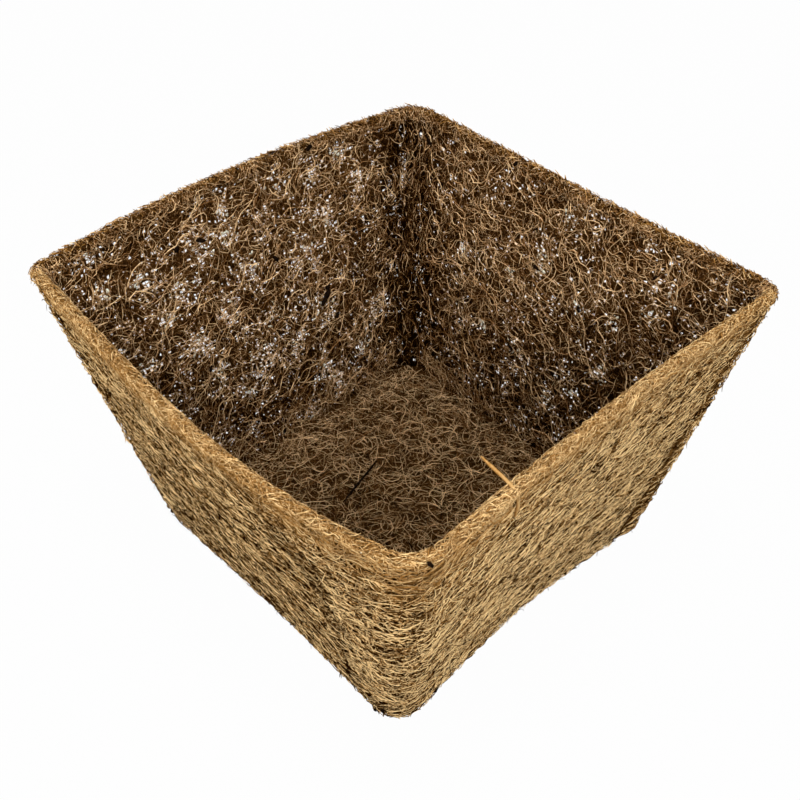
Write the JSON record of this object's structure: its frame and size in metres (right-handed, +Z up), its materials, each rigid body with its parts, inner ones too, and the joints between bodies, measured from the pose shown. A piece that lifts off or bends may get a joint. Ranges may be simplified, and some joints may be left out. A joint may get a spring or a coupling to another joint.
{
  "type": "coir basket",
  "caption": "Square open plant basket that tapers to its base, made of bonded coconut-fibre felt with lapped corners and a flat pad for a floor.",
  "frame": {"origin": "on the surface the basket stands on, under the middle of its outline", "axes": "+Z up out of the open top, -Y out of the front wall, +X out of the right wall; the walls are square to X and Y"},
  "size_m": [0.263, 0.2554, 0.164],
  "materials": {
    "wall_felt": "matte golden-brown coir fibres, latex bonded",
    "pad_felt": "matte brown coir fibres, latex bonded"
  },
  "bodies": {
    "root": {"base_pad": "pad_felt", "front_wall": "wall_felt", "right_wall": "wall_felt", "back_wall": "wall_felt", "left_wall": "wall_felt"}
  },
  "joints": []
}
